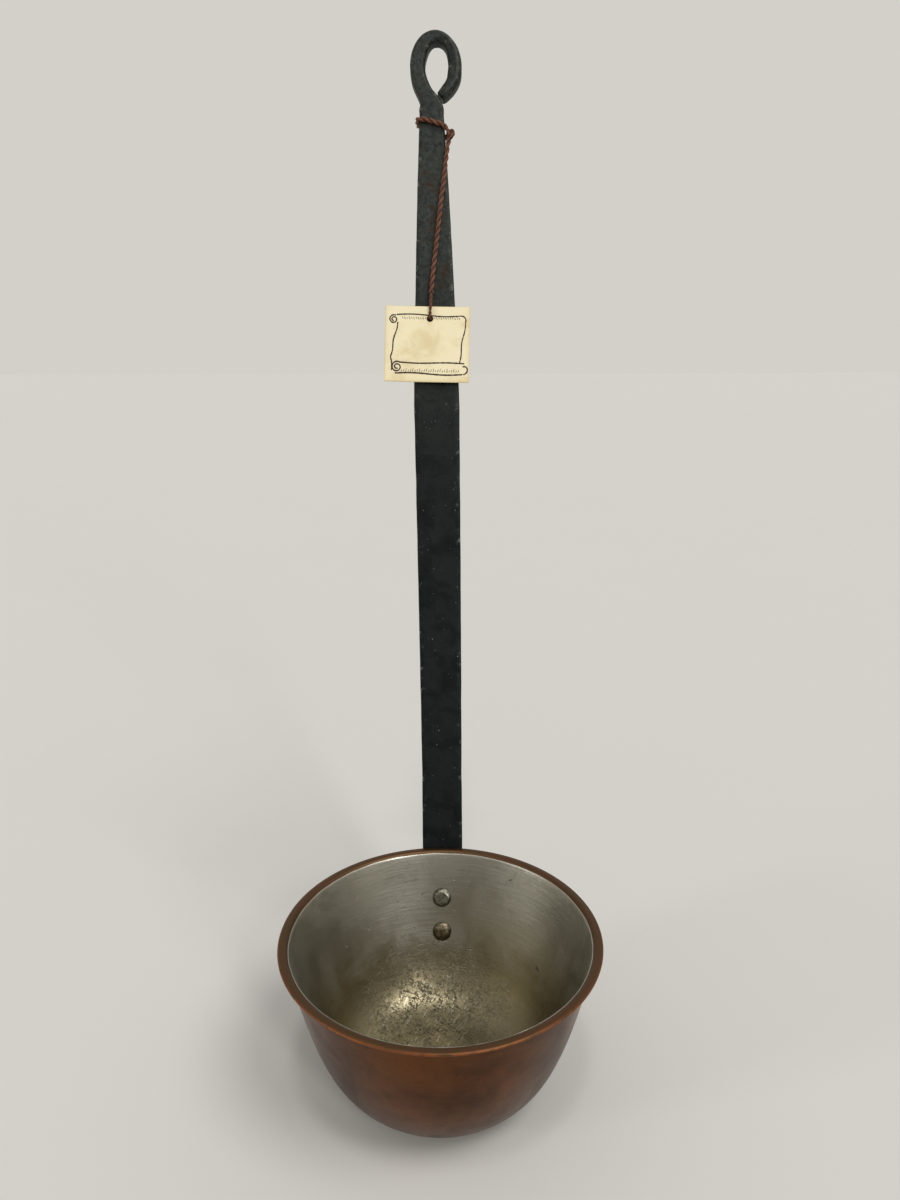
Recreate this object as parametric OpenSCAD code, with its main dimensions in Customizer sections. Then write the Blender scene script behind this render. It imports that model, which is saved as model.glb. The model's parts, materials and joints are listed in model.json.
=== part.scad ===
// Copper ladle with a forged iron handle, a hanging eye and a card tag on a string.
// Origin: centre of the bowl's flat base. +Z is up, +Y runs towards the handle, +X is to the right.
// Sizes are in millimetres.

/* [Bowl] */
// Diameter over the turned lip
lip_d = 150; // [130:1:170]
// Height of the lip's crest above the bench
bowl_h = 77.5; // [66:0.5:90]
// Diameter of the flat base
base_d = 52; // [40:1:64]
// Thickness of the copper sheet
copper_t = 1.5; // [1:0.1:2.5]
// Slope of the wall just below the lip, from upright
wall_flare = 13; // [8:0.5:18]
// How far the base runs on before the wall turns up
base_run = 29; // [22:1:34]
// How far down the wall keeps its slope
wall_run = 48; // [36:1:54]
// How far the lip stands out past the wall
lip_out = 3.4; // [2.8:0.1:6]
// Inner radius of the lip's bend
lip_bend_r = 1; // [0.6:0.1:1.6]
// How far the lip's edge droops, in degrees
lip_droop = 6; // [0:1:14]

/* [Tin lining] */
// Thickness of the tin
tin_t = 0.3; // [0.2:0.05:0.6]
// How far round the lip's bend the tin is wiped, in degrees
tin_turn = 34; // [20:1:60]

/* [Handle] */
// Thickness of the flat strap
strap_t = 4; // [3:0.1:5.5]
// Lean of the strap from upright
lean = 16.7; // [10:0.1:22]
// Width of the strap at the bowl
foot_w = 22; // [18:0.5:26]
// Width of the strap at its widest
wide_w = 25.4; // [22:0.2:30]
// Distance from the lip to the widest place
wide_at = 240; // [200:5:270]
// Width of the neck below the eye
neck_w = 14; // [11:0.2:17]
// Distance from the lip to the neck
neck_at = 405; // [380:1:430]
// How far the strap wanders to the left on its way to the neck
wander = 5.2; // [0:0.1:8]
// How far the palm reaches below the lower rivet
palm_reach = 11.5; // [8:0.5:14]
// Length of the palm's rounded end
palm_round = 7; // [4:0.5:9]
// How far the palm is to the right of the bowl's middle
palm_aside = 0.3; // [-1:0.1:1]

/* [Hanging eye] */
// Width of the eye, over the middle of its bar
eye_w = 19.6; // [17:0.2:24]
// Height of the eye, over the middle of its bar
eye_h = 33.8; // [30:0.2:40]
// Distance from the neck to the middle of the eye
eye_rise = 25.5; // [24:0.5:30]
// How far the middle of the eye is to the right of the neck
eye_aside = 2.1; // [0.5:0.1:4]
// Width of the bar where it leaves the neck
bar_w = 8.8; // [7.5:0.1:9.5]
// Width of the bar over the top
crown_w = 7.2; // [6:0.1:9]
// Width of the bar on its way down
return_w = 10.3; // [8:0.1:11]
// Width of the bar's tip
tip_w = 6.6; // [5:0.1:8]
// Depth of the bar, front to back
bar_t = 9.2; // [7:0.1:10.5]

/* [Rivets] */
// Diameter of the shanks
shank_d = 6; // [4.5:0.1:7]
// Diameter of the heads inside the bowl
head_d = 10.2; // [9:0.1:12]
// Height of the heads
head_h = 2.2; // [1.6:0.1:3]
// Diameter of the flat left by the hammer on the upper head
upper_flat_d = 6; // [2:0.2:7.5]
// Diameter of the flat left by the hammer on the lower head
lower_flat_d = 2; // [1:0.2:7.5]
// Diameter of the peened tails outside
tail_d = 9.4; // [8:0.1:11]
// Height of the peened tails
tail_h = 2; // [1.4:0.1:2.8]
// Height of the upper rivet above the bench
upper_z = 52.5; // [49:0.5:54]
// Height of the lower rivet above the bench
lower_z = 34.7; // [31:0.1:37]

/* [String] */
// Thickness of the doubled, twisted string
string_d = 2.7; // [2:0.1:3]
// Thickness of one thread of it
thread_d = 1.3; // [1:0.05:1.5]
// Diameter of the hitch
knot_d = 4.8; // [4:0.1:5.4]
// Distance from the neck down to the hitch
knot_below_neck = 13.4; // [10:0.2:18]
// How far the string's far side is above the hitch
collar_rise = 8.8; // [6:0.2:12]
// How far the string dips across the front of the neck
collar_dip = 4.4; // [2:0.2:6]
// How far it dips across the back of the neck
collar_back_dip = 7.2; // [6:0.2:8]

/* [Hang tag] */
// Width of the card
tag_w = 46.5; // [36:0.5:56]
// Height of the card
tag_h = 41.8; // [34:0.5:52]
// Thickness of the card
tag_t = 0.6; // [0.4:0.05:1]
// Diameter of the punched hole
tag_hole_d = 4.4; // [3.6:0.1:5.5]
// Distance from the hole's centre to the card's upper edge
tag_hole_down = 6.8; // [5:0.1:8]
// How far the hole is to the right of the card's middle
tag_hole_aside = 1.2; // [-4:0.1:4]
// Tilt of the card as it hangs
tag_tilt = -1.4; // [-6:0.2:6]

/* [Clearances] */
// Between the bowl's wall and the palm of the handle
palm_gap = 0.2; // [0.1:0.05:0.5]
// Between the lip's edge and the strap
lip_gap = 0.3; // [0.2:0.05:0.8]
// Round a rivet's shank in its holes
rivet_play = 0.1; // [0.05:0.05:0.3]
// Under the rim of a rivet's head and under its tail
rivet_seat = 0.1; // [0.05:0.05:0.3]
// Between the string and the iron that it goes round
string_gap = 0.25; // [0.1:0.05:0.4]
// Between pieces of string and card that swing past each other
swing_gap = 0.3; // [0.2:0.05:0.5]
// Between the eye's tip and the neck
tip_gap = 0.5; // [0.3:0.1:1]

/* [Hidden] */
copper = "#8a4a30";
tin = "#8d8b80";
iron = "#33393a";
string_red = "#6e2c22";
card = "#e4dcb6";

// Bowl: where the wall ends and the lip's bend has its centre
lip_r = lip_d / 2;
wall_r = lip_r - lip_out;
wall_top = bowl_h - copper_t - lip_bend_r + lip_bend_r * sin(wall_flare);
bend_centre = [wall_r + lip_bend_r * cos(wall_flare), bowl_h - copper_t - lip_bend_r];
lip_end_turn = 90 + lip_droop;
wall_steps = 26;
bend_steps = 8;
wall_line = [
    [base_d / 2, 0],
    [base_d / 2 + base_run, 0],
    [wall_r, wall_top] - wall_run * [sin(wall_flare), cos(wall_flare)],
    [wall_r, wall_top]
];

// Curves
function unit(v) = v / norm(v);
function bezier(p, t) = pow(1 - t, 3) * p[0] + 3 * pow(1 - t, 2) * t * p[1]
    + 3 * (1 - t) * t * t * p[2] + pow(t, 3) * p[3];
function bezier_way(p, t) = unit(pow(1 - t, 2) * (p[1] - p[0]) + 2 * (1 - t) * t * (p[2] - p[1])
    + t * t * (p[3] - p[2]));
function ease(u) = u <= 0 ? 0 : u >= 1 ? 1 : u * u * (3 - 2 * u);
function mix(a, b, u) = a + (b - a) * u;

// A point of the wall as [radius, height]: t runs from base to lip, depth goes inwards from the outside
function wall(t, depth) = let (way = bezier_way(wall_line, t))
    bezier(wall_line, t) + depth * [-way.y, way.x];
function bend(turn, depth) = bend_centre + (lip_bend_r + depth) * [-cos(turn), sin(turn)];
// The t at which the outside of the wall has a given height
wall_table = [for (i = [0:200]) [bezier(wall_line, i / 200).y, i / 200]];
function wall_at(z) = lookup(z, wall_table);
function wall_slope(t) = let (way = bezier_way(wall_line, t)) atan2(way.x, way.y);

// Outline of the copper, from the axis along the outside, round the lip and back along the inside
lip_end_r = copper_t / 2;
lip_run = (lip_r - lip_end_r - bend(lip_end_turn, lip_end_r).x) / sin(lip_end_turn);
lip_end = bend(lip_end_turn, lip_end_r) + lip_run * [sin(lip_end_turn), cos(lip_end_turn)];
copper_outline = concat(
    [[0, 0]],
    [for (i = [0:wall_steps]) wall(i / wall_steps, 0)],
    [for (i = [1:bend_steps]) bend(mix(wall_flare, lip_end_turn, i / bend_steps), 0)],
    [for (i = [bend_steps:-1:0]) let (turn = lip_end_turn + 180 * i / bend_steps)
        lip_end + lip_end_r * [-cos(turn), sin(turn)]],
    [for (i = [bend_steps:-1:1]) bend(mix(wall_flare, lip_end_turn, i / bend_steps), copper_t)],
    [for (i = [wall_steps:-1:0]) wall(i / wall_steps, copper_t)],
    [[0, copper_t]]
);

// Outline of the tin, which lies on the copper's inside and feathers out on the bend
tin_feather = 10;
tin_steps = 4;
bend_step = (lip_end_turn - wall_flare) / bend_steps;
tin_bends = floor((tin_turn - wall_flare) / bend_step);
tin_outline = concat(
    [[0, copper_t]],
    [for (i = [0:wall_steps]) wall(i / wall_steps, copper_t)],
    [for (i = [1:1:tin_bends]) bend(wall_flare + i * bend_step, copper_t)],
    [bend(tin_turn, copper_t)],
    [for (i = [tin_steps:-1:1]) bend(mix(wall_flare, tin_turn - tin_feather, i / tin_steps),
        copper_t + tin_t)],
    [for (i = [wall_steps:-1:0]) wall(i / wall_steps, copper_t + tin_t)],
    [[0, copper_t + tin_t]]
);

// Strap frame: x across, s along the strap from the lip, n out of its front face from mid-thickness
strap_origin = [0, lip_r + lip_gap + strap_t / 2 / cos(lean), bowl_h - lip_end_r];
along = [0, sin(lean), cos(lean)];
front = [0, -cos(lean), sin(lean)];
function on_strap(p) = strap_origin + [p.x, 0, 0] + p.y * along + p.z * front;
module on_strap() {
    translate(strap_origin) rotate([90 - lean, 0, 0]) children();
}

// Width, wander and thickness of the strap at a distance s from the lip
neck_draw = 1.3;
strap_swell_from = 60;
widens_from = 40;
function strap_w(s) = s < wide_at
    ? mix(foot_w, wide_w, max(0, s - widens_from) / (wide_at - widens_from))
    : mix(wide_w, neck_w, pow((s - wide_at) / (neck_at - wide_at), neck_draw));
function strap_x(s) = palm_aside - wander * pow(max(0, s) / neck_at, neck_draw);
function strap_thick(s) = mix(strap_t, neck_t, ease((s - neck_at + strap_swell_from) / strap_swell_from));
neck_t = strap_t + 1.4;

// Palm: it lies on the wall, then sets out to pass the lip
palm_low_t = wall_at(lower_z - palm_reach);
palm_high_t = wall_at(upper_z + tail_d / 2 + 1);
palm_mid = palm_gap + strap_t / 2;
palm_steps = 9;
set_steps = 7;
set_end_s = -5;
set_pull = 6;
palm_low = wall(palm_low_t, -palm_mid);
palm_high = wall(palm_high_t, -palm_mid);
set_end = [strap_origin.y, strap_origin.z] + set_end_s * [sin(lean), cos(lean)];
set_line = [
    palm_high,
    palm_high + set_pull * bezier_way(wall_line, palm_high_t),
    set_end - set_pull * [sin(lean), cos(lean)],
    set_end
];
function slope(way) = atan2(way.x, way.y);

// Eye: an ellipse that the bar follows clockwise from the neck, over the top and down to its tip
eye_x = strap_x(neck_at) + eye_aside;
eye_s = neck_at + eye_rise;
eye_from = 218;
eye_to = -62;
tip_run = 2.6 - tip_gap;
function eye_at(a) = [eye_x + eye_w / 2 * cos(a), eye_s + eye_h / 2 * sin(a)];
function eye_way(a) = unit([eye_w / 2 * sin(a), -eye_h / 2 * cos(a)]);
neck_start = [strap_x(neck_at), neck_at];
neck_line = [
    neck_start,
    neck_start + [-0.2, 7],
    eye_at(eye_from) - 9 * eye_way(eye_from),
    eye_at(eye_from)
];
// Width of the bar along the ellipse, by its angle
function bar_at(a) = a > 180 ? bar_w
    : a > 90 ? mix(crown_w, bar_w, ease((a - 90) / 70))
    : a > -10 ? mix(return_w, crown_w, ease((a + 10) / 90))
    : mix(tip_w, return_w, ease((a - eye_to) / (-10 - eye_to)));

// Spine of the handle: one row for each section, as
// [place, front direction, width, thickness, how far it wraps round the bowl]
strap_steps = 15;
neck_steps = 8;
eye_steps = 26;
neck_from = neck_at - strap_swell_from;
strap_stops = concat(
    [for (i = [0:strap_steps - 1]) mix(set_end_s, neck_from, i / strap_steps)],
    [for (i = [0:neck_steps]) mix(neck_from, neck_at, i / neck_steps)]
);
function out_of(way) = [0, -way.y, way.x];
palm_arc = norm(palm_high - palm_low);
palm_span = palm_high_t - palm_low_t;
spine = concat(
    // Rounded end of the palm
    [for (a = [15:15:75]) let (t = palm_low_t + palm_span * palm_round * (1 - cos(a)) / palm_arc,
        p = wall(t, -palm_mid))
        [[palm_aside, p.x, p.y], out_of(bezier_way(wall_line, t)), foot_w * sin(a),
            strap_t * mix(0.7, 1, sin(a)), 1]],
    // Rest of the palm, on the wall
    [for (i = [0:palm_steps]) let (t = mix(palm_low_t + palm_span * palm_round / palm_arc,
        palm_high_t, i / palm_steps), p = wall(t, -palm_mid))
        [[palm_aside, p.x, p.y], out_of(bezier_way(wall_line, t)), foot_w, strap_t, 1]],
    // The set that takes it out past the lip
    [for (i = [1:set_steps - 1]) let (t = i / set_steps, p = bezier(set_line, t))
        [[palm_aside, p.x, p.y], out_of(bezier_way(set_line, t)), foot_w, strap_t, 1 - ease(t)]],
    // The straight strap up to the neck
    [for (s = strap_stops) [on_strap([strap_x(s), s, 0]), front, strap_w(s), strap_thick(s), 0]],
    // The neck, where the bar is drawn down and swung to the left
    [for (i = [1:neck_steps - 1]) let (t = i / neck_steps, p = bezier(neck_line, t))
        [on_strap([p.x, p.y, 0]), front, mix(neck_w + 0.5, bar_w, ease(1.1 * t)),
            mix(neck_t, bar_t, ease(t)), 0]],
    // The bar round the eye
    [for (i = [0:eye_steps]) let (a = mix(eye_from, eye_to, i / eye_steps), p = eye_at(a))
        [on_strap([p.x, p.y, 0]), front, bar_at(a), bar_t, 0]],
    [let (p = eye_at(eye_to) + tip_run * eye_way(eye_to))
        [on_strap([p.x, p.y, 0]), front, tip_w * 0.9, bar_t * 0.9, 0]]
);

// One section: a rectangle with rounded corners, in across and out directions
corner_steps = 3;
face_steps = 4;
section_points = 4 * corner_steps + 2 * face_steps + 2;
blade_corner = 1.1;
bar_corner = 2.6;
function corner_r(w, t) = min(mix(blade_corner, bar_corner, ease((t - strap_t) / (bar_t - strap_t))),
    0.45 * t, 0.45 * w);
function half_section(w, t, r) = concat(
    [for (k = [0:corner_steps]) let (a = 90 * k / corner_steps)
        [w / 2 - r + r * cos(a), t / 2 - r + r * sin(a)]],
    [for (k = [1:face_steps - 1]) [(w / 2 - r) * (1 - 2 * k / face_steps), t / 2]],
    [for (k = [0:corner_steps - 1]) let (a = 90 + 90 * k / corner_steps)
        [-w / 2 + r + r * cos(a), t / 2 - r + r * sin(a)]]
);
function section(w, t) = let (half = half_section(w, t, corner_r(w, t)))
    concat(half, [[-w / 2, t / 2 - corner_r(w, t)]], [for (c = half) -c],
        [[w / 2, corner_r(w, t) - t / 2]]);
function wrap(p, amount) = p - [0, amount * (p.y - sqrt(p.y * p.y - p.x * p.x)), 0];
function spine_way(i) = unit(spine[min(i + 1, len(spine) - 1)][0] - spine[max(i - 1, 0)][0]);
function handle_ring(i) = let (row = spine[i], across = unit(cross(spine_way(i), row[1])))
    [for (c = section(row[2], row[3])) wrap(row[0] + c.x * across + c.y * row[1], row[4])];

// Faces of a closed skin over rings of m points each
function skin_faces(rings, m) = concat(
    [for (i = [0:rings - 2]) for (j = [0:m - 1]) let (a = i * m + j, b = i * m + (j + 1) % m)
        each [[a, b, a + m], [b, b + m, a + m]]],
    [[for (j = [m - 1:-1:0]) j]],
    [[for (j = [0:m - 1]) (rings - 1) * m + j]]
);

// String: a round tube swept along points, seen square on from the direction ref
string_sides = 8;
function tube_way(p, i) = unit(p[min(i + 1, len(p) - 1)] - p[max(i - 1, 0)]);
function tube_points(p, r, ref) = [for (i = [0:len(p) - 1])
    let (way = tube_way(p, i), side = unit(cross(way, ref)), up = cross(side, way))
    for (j = [0:string_sides - 1]) let (a = 360 * j / string_sides)
        p[i] + r * (cos(a) * side + sin(a) * up)];
module tube(p, d, ref) {
    polyhedron(tube_points(p, d / 2, ref), skin_faces(len(p), string_sides));
}

// Where the string hangs, in the strap's frame
string_n = max(neck_t / 2 + string_d / 2 + swing_gap, strap_t / 2 + thread_d + 2 * swing_gap + tag_t / 2);
knot_s = neck_at - knot_below_neck;
knot_clear = knot_d / 2 + swing_gap;
knot_x = strap_x(knot_s) + strap_w(knot_s) / 2 + knot_clear;
knot = [knot_x, knot_s, string_n];
// The hanging stretch, from the hitch: aside and down
drop_route = [[0, 0], [-1.5, -6], [-2.3, -12], [-3, -18], [-3.7, -24], [-4.5, -30], [-5.3, -36],
    [-6, -42], [-6.6, -48], [-7.2, -54], [-7.9, -60], [-8.6, -66], [-9.3, -72], [-9.9, -78],
    [-10.5, -84], [-10.9, -88.5]];
// Where the thread passes through the card, from the hitch
hole_route = [-11.6, -102.5];
drop_start = knot_clear * unit([drop_route[1].x, drop_route[1].y, 0]);
drop_path = concat(
    [knot + drop_start],
    [for (i = [1:len(drop_route) - 1]) knot + [drop_route[i].x, drop_route[i].y, 0]]
);

// The thread of the loop, from the drop's end through the card's hole and back: [share of the way, out]
hole = knot + [hole_route.x, hole_route.y, 0];
loop_top = drop_path[len(drop_path) - 1];
loop_out = tag_t / 2 + swing_gap + thread_d / 2;
loop_half = [[0, thread_d / 2], [0.22, loop_out], [0.6, loop_out], [0.86, loop_out - 0.05],
    [0.96, loop_out - 0.55]];
loop_path = concat(
    [for (q = loop_half) mix(loop_top, hole, q[0]) + [0, 0, q[1]]],
    [hole],
    [for (i = [len(loop_half) - 1:-1:0]) mix(loop_top, hole, loop_half[i][0]) - [0, 0, loop_half[i][1]]]
);

// The collar: level on the left of the neck, it dips to the right, where both its ends meet the hitch
collar_off = string_d / 2 + string_gap;
collar_w = strap_w(knot_s) / 2 + collar_off;
collar_t = strap_thick(knot_s + collar_rise) / 2 + collar_off;
collar_corner = collar_off + blade_corner;
collar_bow = 1.7;
function collar_point(x, n, dip) = let (u = min(1, max(0, (x / collar_w + 1) / 2)))
    [strap_x(knot_s) + x, knot_s + collar_rise - dip * pow(u, collar_bow), n];
function collar_bend(side, face, a, dip) = collar_point(
    side * (collar_w - collar_corner) + collar_corner * cos(a),
    face * (collar_t - collar_corner) + collar_corner * sin(a), dip);
collar_in = collar_point(collar_w - collar_corner, collar_t, collar_dip);
collar_out = collar_point(collar_w, 0, collar_back_dip);
collar_path = concat(
    [knot + knot_clear * unit(collar_in - knot), collar_in],
    [collar_point(collar_w / 3, collar_t, collar_dip), collar_point(-collar_w / 3, collar_t, collar_dip)],
    [for (a = [90:22.5:180]) collar_bend(-1, 1, a, collar_dip)],
    [for (a = [180:22.5:270]) collar_bend(-1, -1, a, collar_back_dip)],
    [collar_point(-collar_w / 3, -collar_t, collar_back_dip),
        collar_point(collar_w / 3, -collar_t, collar_back_dip)],
    [for (a = [-90:22.5:-10]) collar_bend(1, -1, a, collar_back_dip)],
    [collar_out, knot + knot_clear * unit(collar_out - knot)]
);

// Rivets: local +Z is the outward normal of the wall, from its outside
rivet_steps = 8;
module at_rivet(z) {
    t = wall_at(z);
    p = wall(t, 0);
    translate([0, p.x, p.y]) rotate([-90 - wall_slope(t), 0, 0]) children();
}
module rivet_hole(z) {
    at_rivet(z) translate([0, 0, -head_d]) cylinder(d = shank_d + 2 * rivet_play, h = 3 * head_d, $fn = 48);
}
module rivet(z, flat_d) {
    head_r = head_d / 2;
    head_z = -(copper_t + tin_t + rivet_seat + head_r * head_r / 2 / (wall(wall_at(z), 0).x - copper_t));
    tail_z = palm_gap + strap_t + rivet_seat;
    dome = [for (i = [0:rivet_steps]) 90 * i / rivet_steps];
    at_rivet(z) rotate_extrude($fn = 64) polygon(concat(
        [[0, head_z - head_h]],
        [for (a = dome) [flat_d / 2 + (head_r - flat_d / 2) * sin(a), head_z - head_h * cos(a)]],
        [[shank_d / 2, head_z], [shank_d / 2, tail_z]],
        [for (a = dome) [tail_d / 2 * cos(a), tail_z + tail_h * sin(a)]]
    ));
}

module bowl() {
    color(copper) difference() {
        rotate_extrude($fn = 120) polygon(copper_outline);
        rivet_hole(upper_z);
        rivet_hole(lower_z);
    }
}

module tin_lining() {
    color(tin) difference() {
        rotate_extrude($fn = 120) polygon(tin_outline);
        rivet_hole(upper_z);
        rivet_hole(lower_z);
    }
}

module handle() {
    color(iron) difference() {
        polyhedron([for (i = [0:len(spine) - 1]) each handle_ring(i)],
            skin_faces(len(spine), section_points));
        rivet_hole(upper_z);
        rivet_hole(lower_z);
    }
}

module rivet_upper() {
    color(tin) rivet(upper_z, upper_flat_d);
}

module rivet_lower() {
    color(copper) rivet(lower_z, lower_flat_d);
}

module string_collar() {
    color(string_red) on_strap() tube(collar_path, string_d, [0, 1, 0]);
}

module string_knot() {
    color(string_red) on_strap() translate(knot) sphere(d = knot_d, $fn = 32);
}

module string_drop() {
    color(string_red) on_strap() tube(drop_path, string_d, [0, 0, 1]);
}

module string_loop() {
    color(string_red) on_strap() tube(loop_path, thread_d, [1, 0, 0]);
}

module hang_tag() {
    color(card) on_strap() translate(hole) rotate([0, 0, tag_tilt]) difference() {
        translate([-tag_w / 2 - tag_hole_aside, tag_hole_down - tag_h, -tag_t / 2])
            cube([tag_w, tag_h, tag_t]);
        translate([0, 0, -tag_t]) cylinder(d = tag_hole_d, h = 2 * tag_t, $fn = 32);
    }
}

bowl();
tin_lining();
handle();
rivet_upper();
rivet_lower();
string_collar();
string_knot();
string_drop();
string_loop();
hang_tag();
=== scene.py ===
"""Looks of a copper ladle: raised bowl, wiped tin, forged handle, rivets, string and card tag."""

import json
import math

import bmesh
import bpy
from bpy.props import FloatProperty, FloatVectorProperty, PointerProperty
from mathutils import Euler, Matrix, Vector, noise


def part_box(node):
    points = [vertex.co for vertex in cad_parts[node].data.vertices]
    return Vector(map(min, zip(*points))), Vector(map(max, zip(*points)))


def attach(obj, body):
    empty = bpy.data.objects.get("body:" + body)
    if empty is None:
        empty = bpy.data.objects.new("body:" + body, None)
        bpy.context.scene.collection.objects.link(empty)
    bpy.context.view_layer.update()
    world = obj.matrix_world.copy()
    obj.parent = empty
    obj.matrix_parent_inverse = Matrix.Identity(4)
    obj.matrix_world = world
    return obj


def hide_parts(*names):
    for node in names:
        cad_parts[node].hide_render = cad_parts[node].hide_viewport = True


bl_info = {
    "name": "Copper ladle",
    "version": (1, 0, 0),
    "blender": (4, 5, 0),
    "location": "3D View > Sidebar > Ladle",
    "description": "Builds the looks of a tinned copper ladle with a forged handle around its frame",
    "category": "Object",
}

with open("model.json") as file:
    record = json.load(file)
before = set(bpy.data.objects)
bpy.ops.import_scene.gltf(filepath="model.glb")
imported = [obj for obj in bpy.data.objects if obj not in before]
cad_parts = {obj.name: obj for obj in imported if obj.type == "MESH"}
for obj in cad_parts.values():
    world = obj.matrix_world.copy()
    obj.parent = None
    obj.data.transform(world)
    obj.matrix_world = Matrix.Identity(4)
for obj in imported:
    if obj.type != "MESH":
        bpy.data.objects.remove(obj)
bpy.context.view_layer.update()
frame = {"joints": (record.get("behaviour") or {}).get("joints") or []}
joints = {joint["name"]: joint for joint in frame["joints"]}

MM = 0.001
TURN = 2 * math.pi
ORIGIN = Vector((0, 0, 0))

# The strap's plane: x across, ALONG up the strap and FRONT out of its face
KNOT = Vector(joints["string_swing"]["pos_m"])
HOLE = Vector(joints["tag_swing"]["pos_m"])
FRONT = Vector(joints["string_swing"]["axis"]).normalized()
ACROSS = Vector((1, 0, 0))
ALONG = FRONT.cross(ACROSS)
LEAN = math.atan2(ALONG.y, ALONG.z)


def srgb(text):
    """An sRGB hex colour as linear red, green, blue and alpha."""
    parts = [int(text[i : i + 2], 16) / 255 for i in (1, 3, 5)]
    return (*(c / 12.92 if c <= 0.04045 else ((c + 0.055) / 1.055) ** 2.4 for c in parts), 1)


def color(name, text, description):
    """A colour that a user can change, from its sRGB hex value."""
    return FloatVectorProperty(
        name=name, description=description, default=srgb(text), size=4, subtype="COLOR", min=0, max=1
    )


def length(name, default, low, high, description):
    """A length that a user can change, in metres."""
    return FloatProperty(
        name=name, description=description, default=default, min=low, max=high, unit="LENGTH", precision=5
    )


class LADLE_PG_bowl(bpy.types.PropertyGroup):
    """Sizes and colours of the bowl, its tin and its rivets."""

    lip_radius: length("Lip radius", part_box("bowl")[1].x, 0.06, 0.09, "From the middle to the lip's edge")
    height: length("Height", 0.0775, 0.06, 0.1, "From the bench to the lip's crest")
    base_radius: length("Base radius", 0.026, 0.02, 0.032, "Of the flat that it stands on")
    sheet: length("Sheet", 0.0015, 0.001, 0.0025, "Thickness of the copper")
    tin: length("Tin", 0.0003, 0.0002, 0.0006, "Thickness of the tin")
    tin_turn: FloatProperty(
        name="Tin's reach", description="How far round the lip the tin is wiped",
        default=math.radians(34), min=math.radians(20), max=math.radians(60), subtype="ANGLE",
    )
    dent_depth: length("Dent depth", 0.00022, 0, 0.001, "Depth of the soft waves that the hammer left")
    copper: color("Copper", "#643a17", "Aged copper, where it is clean")
    copper_dark: color("Dark copper", "#47280e", "Aged copper, where it has darkened")
    copper_lip: color("Lip", "#58432f", "The dull skin on top of the lip")
    # Bright tin carries a painted reflection of the room high on the wall; dull tin is food-dulled tin low in
    # the bowl, without that reflection.
    tin_clean_and_reflecting: color("Bright tin", "#aeaba0", "Tin kept bright by a cloth, with a painted reflection high up")
    tin_dull: color("Dull tin", "#827961", "Tin that food has dulled")
    tin_pit: color("Pits", "#2b261c", "Where the tin has gone")


class LADLE_PG_handle(bpy.types.PropertyGroup):
    """Sizes and colours of the forged handle."""

    thickness: length("Strap thickness", 0.004, 0.003, 0.0055, "Of the flat strap")
    foot_width: length("Foot width", 0.022, 0.018, 0.026, "Width of the strap at the bowl")
    wide_width: length("Widest", 0.0254, 0.022, 0.03, "Width of the strap at its widest")
    neck_width: length("Neck width", 0.014, 0.011, 0.017, "Width of the neck below the eye")
    hammer_depth: length("Hammer depth", 0.00028, 0, 0.001, "Depth of the hammer's marks")
    scale: color("Forge scale", "#232726", "Black oxide of the forge")
    # Paler scale high up the handle is painted sheen, light catching the upper strap.
    scale_painted_sheen: color("Sheen-lit scale", "#444642", "Scale paled high up by painted sheen")
    rust: color("Rust bloom", "#3a2d23", "Thin brown bloom near the neck")
    bare: color("Bare edge", "#8c8d86", "Iron that shows at worn edges")


class LADLE_PG_string(bpy.types.PropertyGroup):
    """Sizes and colours of the string."""

    diameter: length("Thickness", 0.0027, 0.002, 0.003, "Over both threads")
    thread: length("Thread", 0.0013, 0.001, 0.0015, "Of one thread")
    lay: length("Lay", 0.0088, 0.005, 0.02, "Length of one full twist")
    dye: color("Dye", "#66351c", "Red-brown dye, on the crowns of the threads")
    groove_shade: color("Groove shade", "#240e08", "The dye under painted shade in the grooves")


class LADLE_PG_tag(bpy.types.PropertyGroup):
    """Sizes and colours of the card."""

    width: length("Width", 0.0465, 0.036, 0.056, "Of the card")
    height: length("Height", 0.0418, 0.034, 0.052, "Of the card")
    thickness: length("Thickness", 0.0006, 0.0004, 0.001, "Of the card")
    bow: length("Bow", 0.0007, 0, 0.0012, "How far the card's sides curl towards the front")
    card: color("Card", "#e7dbb6", "Aged cream board")
    card_old: color("Yellowed card", "#cbb27c", "Board that light and fingers have yellowed")
    ink: color("Ink", "#2f1c12", "Brown-black printing ink")


class LADLE_PG_stage(bpy.types.PropertyGroup):
    """Floor and light."""

    floor: color("Floor", "#cfcdc6", "Pale matt floor")
    key: FloatProperty(name="Key light", description="Strength of the soft sun", default=1.05, min=0, max=10)
    sky: FloatProperty(name="Room light", description="Strength of the even light", default=0.5, min=0, max=3)


# Curves that the part and its looks share


def mix(a, b, share):
    return a + (b - a) * share


def ease(share):
    share = min(1, max(0, share))
    return share * share * (3 - 2 * share)


def bezier(p, t):
    return (1 - t) ** 3 * p[0] + 3 * (1 - t) ** 2 * t * p[1] + 3 * (1 - t) * t * t * p[2] + t**3 * p[3]


def bezier_way(p, t):
    way = (1 - t) ** 2 * (p[1] - p[0]) + 2 * (1 - t) * t * (p[2] - p[1]) + t * t * (p[3] - p[2])
    return way.normalized()


def on_strap(x, s, n=0.0):
    """A point from its place across the strap, along it from the lip, and out of its face."""
    bowl, handle = bpy.context.scene.ladle_bowl, bpy.context.scene.ladle_handle
    foot = bowl.lip_radius + 0.3 * MM + handle.thickness / 2 / math.cos(LEAN)
    return Vector((x, foot, bowl.height - bowl.sheet / 2)) + s * ALONG + n * FRONT


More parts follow.
